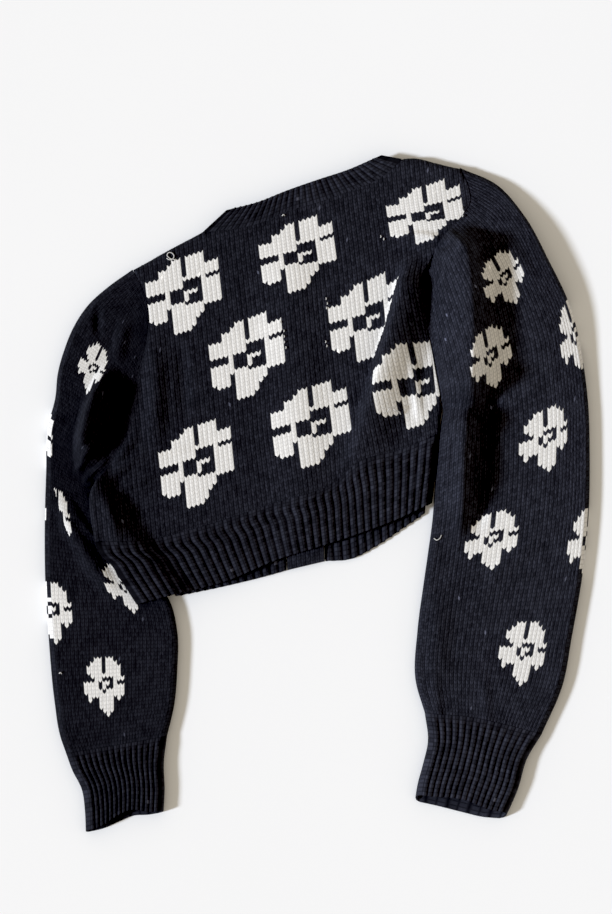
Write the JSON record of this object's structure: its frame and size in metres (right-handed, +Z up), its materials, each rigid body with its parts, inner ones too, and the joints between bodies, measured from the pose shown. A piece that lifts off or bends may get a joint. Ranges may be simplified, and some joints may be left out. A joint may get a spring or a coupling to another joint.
{
  "type": "cardigan",
  "caption": "Cropped knitted cardigan with a flower pattern, laid flat with its back up, sleeves down at both sides, ribbed hem, cuffs and neckband.",
  "frame": {"origin": "on the surface it lies on, under the middle of the garment's bounding box", "axes": "+Z up from the surface, +Y towards the neck, +X towards the wearer's right sleeve, back up"},
  "size_m": [0.545, 0.6774, 0.0499],
  "materials": {
    "knit": "navy stocking-stitch knit with cream flowers",
    "rib": "navy one by one rib",
    "button": "dark polished horn look"
  },
  "bodies": {
    "root": {"back": "knit", "front_left": "knit", "front_right": "knit", "sleeve_left": "knit", "sleeve_right": "knit", "cuff_left": "rib", "cuff_right": "rib", "hem_back": "rib", "hem_front_left": "rib", "hem_front_right": "rib", "neckband": "rib", "neckband_left": "rib", "neckband_right": "rib", "button_band": "rib", "buttonhole_band": "rib", "button_1": "button", "button_2": "button", "button_3": "button", "button_4": "button", "button_5": "button"}
  },
  "joints": []
}
